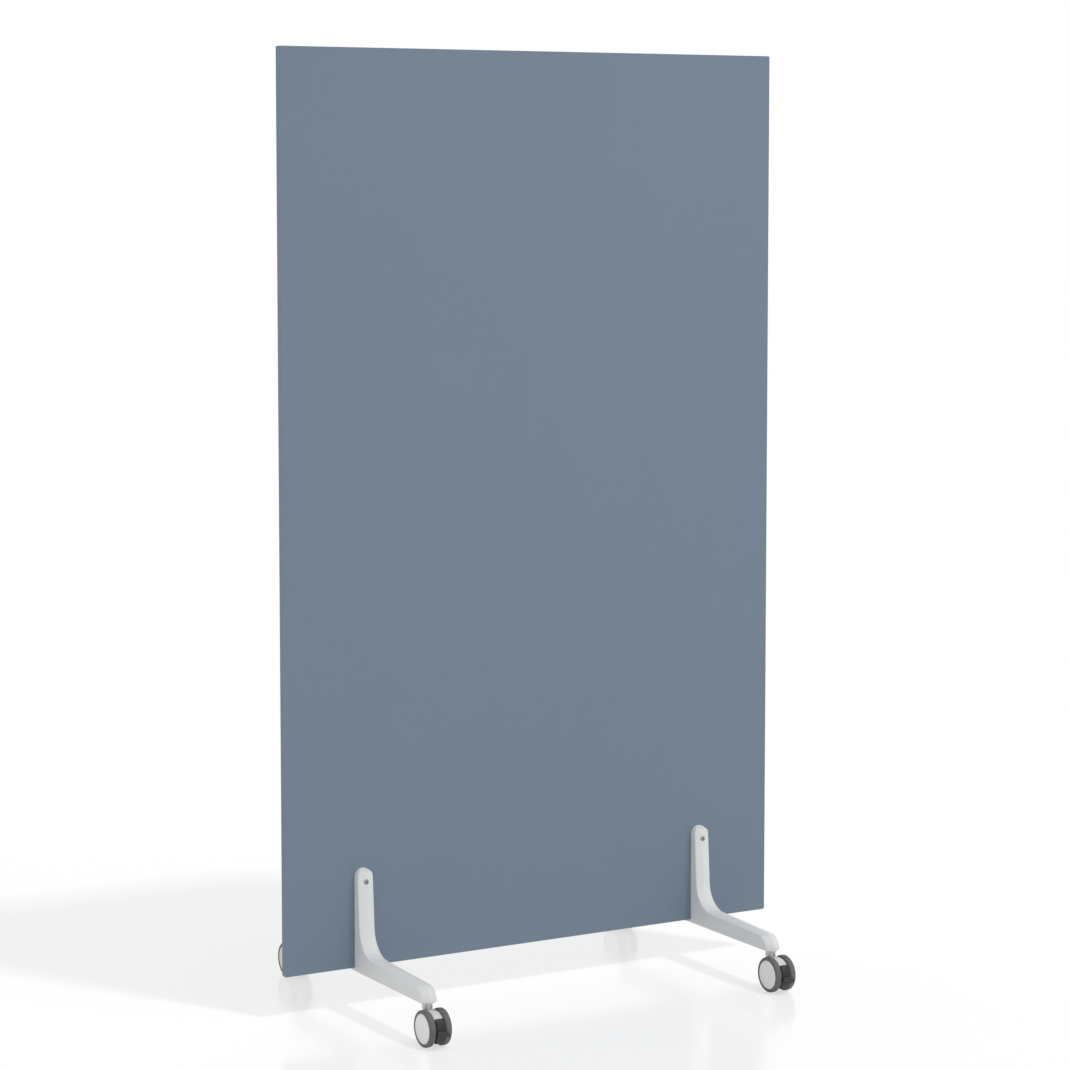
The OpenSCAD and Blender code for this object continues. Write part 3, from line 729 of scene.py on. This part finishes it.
def stems():
    """The swivel stem: a pivot in the housing, a collar and a thread in the leg."""
    bottom, top = STEM_LOW.z - AXLE.z, STEM_HIGH.z - AXLE.z
    collar_top = LEG_Z - AXLE.z
    collar_bottom = bottom + PIVOT_LEN
    outline = [(0, bottom), (PIVOT_R - PIVOT_BEVEL, bottom), (PIVOT_R, bottom + PIVOT_BEVEL),
               (PIVOT_R, collar_bottom)]
    outline += [tuple(point) for point in rounded([
        (PIVOT_R, collar_bottom, 0), (COLLAR_R, collar_bottom, COLLAR_LOW_EDGE_R),
        (COLLAR_R, collar_top, COLLAR_TOP_EDGE_R), (THREAD_R, collar_top, 0)], steps=5)[1:]]
    turns = int((top - collar_top - THREAD_BEVEL) / THREAD_PITCH)
    for i in range(turns):
        z = collar_top + THREAD_START + THREAD_PITCH * i
        outline += [(THREAD_R, z), (THREAD_ROOT_R, z + THREAD_PITCH / 2)]
    outline += [(THREAD_R, top - THREAD_BEVEL), (THREAD_R - THREAD_BEVEL, top), (0, top)]
    piece = as_object("stem_shape", lathe(outline, 64))
    piece.data.transform(Matrix.Rotation(-math.pi / 2, 4, "Y"))
    shade(piece)
    for corner in CORNERS:
        side, out = side_of(corner), out_of(corner)
        place = placed((side * AXLE.x, out * (STEM_LOW.y + STEM_HIGH.y) / 2, AXLE.z))
        stand_for(corner + "_stem", corner + "_swivel_stem", piece, place)
    drop(piece)


def hood_outline(inset):
    """The housing seen from its side: a hood over the axle, a boss for the stem, a pedal recess."""
    turn = inset / HOOD_R
    r, recess = HOOD_R - inset, RECESS_R - inset
    floor = HOUSING_FLOOR + inset
    low, high = RECESS_BOTTOM - turn, RECESS_TOP + turn
    outline = [(floor / math.tan(low), floor)]
    outline += [(recess * math.cos(a), recess * math.sin(a)) for a in spaced(low, high, 48)]
    outline += [(r * math.cos(a), r * math.sin(a)) for a in spaced(high, math.pi / 2, 24)]
    outline += [(BOSS_Y + HOUSING_HALF, r), (BOSS_Y + HOUSING_HALF, HOUSING_TOP),
                (BOSS_Y - HOUSING_HALF, HOUSING_TOP), (BOSS_Y - HOUSING_HALF, 0)]
    heel = math.pi + math.asin(-floor / r)
    return outline + [(r * math.cos(a), r * math.sin(a)) for a in spaced(math.pi, heel, 24)]


def housings():
    """The housing between the wheels, rounded behind about the stem, with its bores and slot."""
    rings = []
    for side in (-1, 1):
        for angle in (0, 30, 60, 90)[::side]:
            x = HOUSING_HALF - HOOD_EDGE_R * (1 - math.sin(math.radians(angle)))
            inset = HOOD_EDGE_R * (1 - math.cos(math.radians(angle)))
            rings.append([(side * x, y, z) for y, z in hood_outline(inset)])
    piece = as_object("housing_shape", loft(rings))
    wide, clear = HOUSING_HALF + 1, 0.01
    plan = [(HOUSING_HALF * math.cos(a), BOSS_Y + HOUSING_HALF * math.sin(a))
            for a in spaced(math.pi, 2 * math.pi, 40)]
    plan += [(wide, BOSS_Y + clear), (wide, WHEEL_R), (-wide, WHEEL_R), (-wide, BOSS_Y + clear)]
    carve(piece, [loft([[(x, y, z) for x, y in plan] for z in (-WHEEL_R, WHEEL_R)])], "INTERSECT")
    hub = WEB_R + SLOT_GAP
    carve(piece, [
        rod((0, BOSS_Y, STEM_LOW.z - AXLE.z - 1), (0, BOSS_Y, WHEEL_R), PIVOT_BORE),
        rod((-WHEEL_R, 0, 0), (WHEEL_R, 0, 0), AXLE_BORE),
        rod((-WHEEL_R, PIN.y, PIN.z), (WHEEL_R, PIN.y, PIN.z), PIN_BORE),
        block((-WEB_HALF - SLOT_GAP, PIN.y - hub, -WHEEL_R),
              (WEB_HALF + SLOT_GAP, WHEEL_R, PIN.z + hub))])
    shade(piece)
    for corner in CORNERS:
        stand_for(corner + "_housing", corner + "_hood", piece, about_axle(corner))
    drop(piece)


def pedals():
    """The brake pedal: a curved strap between the wheels, with its web, and the toe lip ahead of it."""
    rings = []
    length = PEDAL_R * (PEDAL_TOP - PEDAL_BOTTOM)
    middle = PEDAL_R - SHELL_T / 2
    for share in PEDAL_SHARES:
        angle = PEDAL_TOP + (PEDAL_BOTTOM - PEDAL_TOP) * share
        from_end = min(share, 1 - share) * length
        narrow = round_end(from_end, TOP_CORNER_R if share < 0.5 else BOTTOM_CORNER_R)
        thin = round_end(from_end, PEDAL_EDGE_R)
        w, t = PEDAL_HALF - narrow, SHELL_T / 2 - thin
        section = rounded([(-w, -t, PEDAL_BACK_R), (w, -t, PEDAL_BACK_R), (w, t, PEDAL_EDGE_R),
                           (-w, t, PEDAL_EDGE_R)], steps=4)
        rings.append([(p.x, (middle + p.y) * math.cos(angle), (middle + p.y) * math.sin(angle))
                      for p in section])
    piece = as_object("pedal_shape", loft(rings))
    carve(piece, [pedal_web(), toe_lip()], "UNION")
    carve(piece, [rod((-PEDAL_HALF, PIN.y, PIN.z), (PEDAL_HALF, PIN.y, PIN.z), PIN_BORE)])
    shade(piece)
    for corner in CORNERS:
        stand_for(corner + "_brake_pedal", corner + "_toe_pedal", piece, about_axle(corner))
    drop(piece)


def round_end(from_end, radius):
    """How far a rounded end has drawn in at a distance from the end."""
    return radius - math.sqrt(max(0, radius ** 2 - max(0, radius - from_end) ** 2))


def pedal_web():
    """The web from the strap back to the pin."""
    inside = PEDAL_R - SHELL_T + WEB_OVERLAP
    outline = [(PIN.y + WEB_R * math.cos(a), PIN.z + WEB_R * math.sin(a))
               for a in spaced(math.pi / 2, 1.5 * math.pi, 12)]
    outline += [(inside, LIP_Z), (inside, PIN.z)]
    return loft([[(x, y, z) for y, z in outline] for x in (-WEB_HALF, WEB_HALF)])


def flare_height(y):
    """The height at y of the curve that falls from the strap's face to the lip's front edge."""
    share = (y - FLARE_START) / (LIP_REACH - FLARE_START)
    return LIP_Z + FLARE_H * (1 - share ** FLARE_POWER)


def toe_lip():
    """The lip: a hollow flare with a thin round front edge. It starts at WIDEN_Y, clear of the strap."""
    rings = []
    for u in [-place for place in reversed(LIP_SIDE)] + list(LIP_SIDE):
        wide = (abs(u) - PEDAL_HALF) / (LIP_HALF - PEDAL_HALF)
        front = LIP_REACH - round_end(LIP_HALF - abs(u), LIP_CORNER_R)
        back = min(WIDEN_Y + (LIP_REACH - LIP_CORNER_R - WIDEN_Y) * wide, front - LIP_LEAST)
        soft = round_end(LIP_HALF - abs(u), LIP_EDGE_R)
        low = LIP_Z - LIP_T + soft
        edge_low = max(low, LIP_Z - LIP_EDGE_T)
        face = [(y, flare_height(y) - soft) for y in spaced(back, front - LIP_EDGE_R, 12)]
        bend = [(front - LIP_EDGE_R * (1 - math.sin(a)),
                 flare_height(front) - soft - LIP_EDGE_R * (1 - math.cos(a)))
                for a in spaced(math.radians(30), math.pi / 2, 3)]
        section = face + bend + [(front, edge_low), (back, low)]
        rings.append([(u, y, z) for y, z in section])
    return loft(rings)


# ---------------------------------------------------------------- stage

SUN_FROM = Vector((0.333, -0.623, 1.0))
SUN_ANGLE = 5.5
SUN_LEVEL = 0.15
FLOOR_SUN_LEVEL = 0.7
SKY_LEVEL = 0.85
SKY_SLOPE = (0.1, 0.2, 0)
SOFTBOX_PLACE = (1.3, -1.9, 2.7)
SOFTBOX_AIM = (0.1, 0, 1.3)
SOFTBOX_SIZE = 1.2
SOFTBOX_WATTS = 7
FLOOR_HALF = 30
FLOOR_GLOW = 0.737
FLOOR_TONE = 0.17
FLOOR_BOUNCE = 0.55
FLOOR_GLOSS = 0.125
FLOOR_BLUR = 0.16


def seen_directly(tree):
    """1 for camera, glossy and transmission rays, else 0."""
    path = tree.nodes.new("ShaderNodeLightPath")
    total = path.outputs["Is Camera Ray"]
    for name in ("Is Glossy Ray", "Is Transmission Ray"):
        add = tree.nodes.new("ShaderNodeMath")
        add.operation = "MAXIMUM"
        tree.links.new(total, add.inputs[0])
        tree.links.new(path.outputs[name], add.inputs[1])
        total = add.outputs[0]
    return total


def mixed(tree, factor, first, second):
    mix = tree.nodes.new("ShaderNodeMixShader")
    if isinstance(factor, float):
        mix.inputs[0].default_value = factor
    else:
        tree.links.new(factor, mix.inputs[0])
    tree.links.new(first.outputs[0], mix.inputs[1])
    tree.links.new(second.outputs[0], mix.inputs[2])
    return mix


def shader(tree, kind, grey, **inputs):
    node = tree.nodes.new(kind)
    node.inputs["Color"].default_value = (grey, grey, grey, 1)
    for key, value in inputs.items():
        node.inputs[key].default_value = value
    return node


def floor_material():
    material = bpy.data.materials.new("floor")
    material.use_nodes = True
    tree = material.node_tree
    tree.nodes.remove(tree.nodes["Principled BSDF"])
    glow = shader(tree, "ShaderNodeEmission", 1.0, Strength=FLOOR_GLOW)
    seen = tree.nodes.new("ShaderNodeAddShader")
    tree.links.new(glow.outputs[0], seen.inputs[0])
    tree.links.new(shader(tree, "ShaderNodeBsdfDiffuse", FLOOR_TONE).outputs[0], seen.inputs[1])
    gloss = shader(tree, "ShaderNodeBsdfGlossy", 1.0, Roughness=FLOOR_BLUR)
    polished = mixed(tree, FLOOR_GLOSS, seen, gloss)
    bounce = shader(tree, "ShaderNodeBsdfDiffuse", FLOOR_BOUNCE)
    mix = mixed(tree, seen_directly(tree), bounce, polished)
    tree.links.new(mix.outputs[0], tree.nodes["Material Output"].inputs["Surface"])
    return material


def make_floor():
    mesh = bpy.data.meshes.new("floor")
    h = FLOOR_HALF
    mesh.from_pydata([(-h, -h, 0), (h, -h, 0), (h, h, 0), (-h, h, 0)], [], [(0, 1, 2, 3)])
    floor = bpy.data.objects.new("floor", mesh)
    mesh.materials.append(floor_material())
    bpy.context.scene.collection.objects.link(floor)
    return floor


def make_sun(name, level):
    data = bpy.data.lights.new(name, "SUN")
    data.energy = level * math.pi
    data.angle = math.radians(SUN_ANGLE)
    sun = bpy.data.objects.new(name, data)
    sun.rotation_mode = "QUATERNION"
    sun.rotation_quaternion = SUN_FROM.to_track_quat("Z", "Y")
    bpy.context.scene.collection.objects.link(sun)
    return sun


def make_softbox():
    data = bpy.data.lights.new("softbox", "AREA")
    data.shape = "DISK"
    data.size = SOFTBOX_SIZE
    data.energy = SOFTBOX_WATTS
    softbox = bpy.data.objects.new("softbox", data)
    softbox.location = SOFTBOX_PLACE
    softbox.rotation_mode = "QUATERNION"
    toward = Vector(SOFTBOX_AIM) - Vector(SOFTBOX_PLACE)
    softbox.rotation_quaternion = toward.to_track_quat("-Z", "Y")
    softbox.visible_camera = False
    bpy.context.scene.collection.objects.link(softbox)


def make_sky():
    """A wide soft light, a little stronger from the right and from behind, on a white ground."""
    world = bpy.data.worlds.new("studio")
    bpy.context.scene.world = world
    world.use_nodes = True
    tree = world.node_tree
    tree.nodes.clear()
    place = tree.nodes.new("ShaderNodeTexCoord")
    slope = tree.nodes.new("ShaderNodeVectorMath")
    slope.operation = "DOT_PRODUCT"
    slope.inputs[1].default_value = SKY_SLOPE
    tree.links.new(place.outputs["Generated"], slope.inputs[0])
    level = tree.nodes.new("ShaderNodeMath")
    level.operation = "ADD"
    level.inputs[1].default_value = SKY_LEVEL
    tree.links.new(slope.outputs["Value"], level.inputs[0])
    sky = shader(tree, "ShaderNodeBackground", 1.0)
    tree.links.new(level.outputs[0], sky.inputs["Strength"])
    white = shader(tree, "ShaderNodeBackground", 1.0, Strength=1.0)
    mix = mixed(tree, seen_directly(tree), sky, white)
    out = tree.nodes.new("ShaderNodeOutputWorld")
    tree.links.new(mix.outputs[0], out.inputs["Surface"])


def make_stage():
    floor = make_floor()
    make_sun("sun", SUN_LEVEL)
    # The floor alone gets more of the sun, so that the soft light leaves it a readable shadow.
    receivers = bpy.data.collections.new("floor_only")
    receivers.objects.link(floor)
    make_sun("floor_sun", FLOOR_SUN_LEVEL).light_linking.receiver_collection = receivers
    make_softbox()
    make_sky()
    bpy.context.scene.view_settings.view_transform = "Standard"


make_camera()
dress_cad_nodes()
board()
legs()
tyres()
caps()
stems()
housings()
pedals()
make_stage()
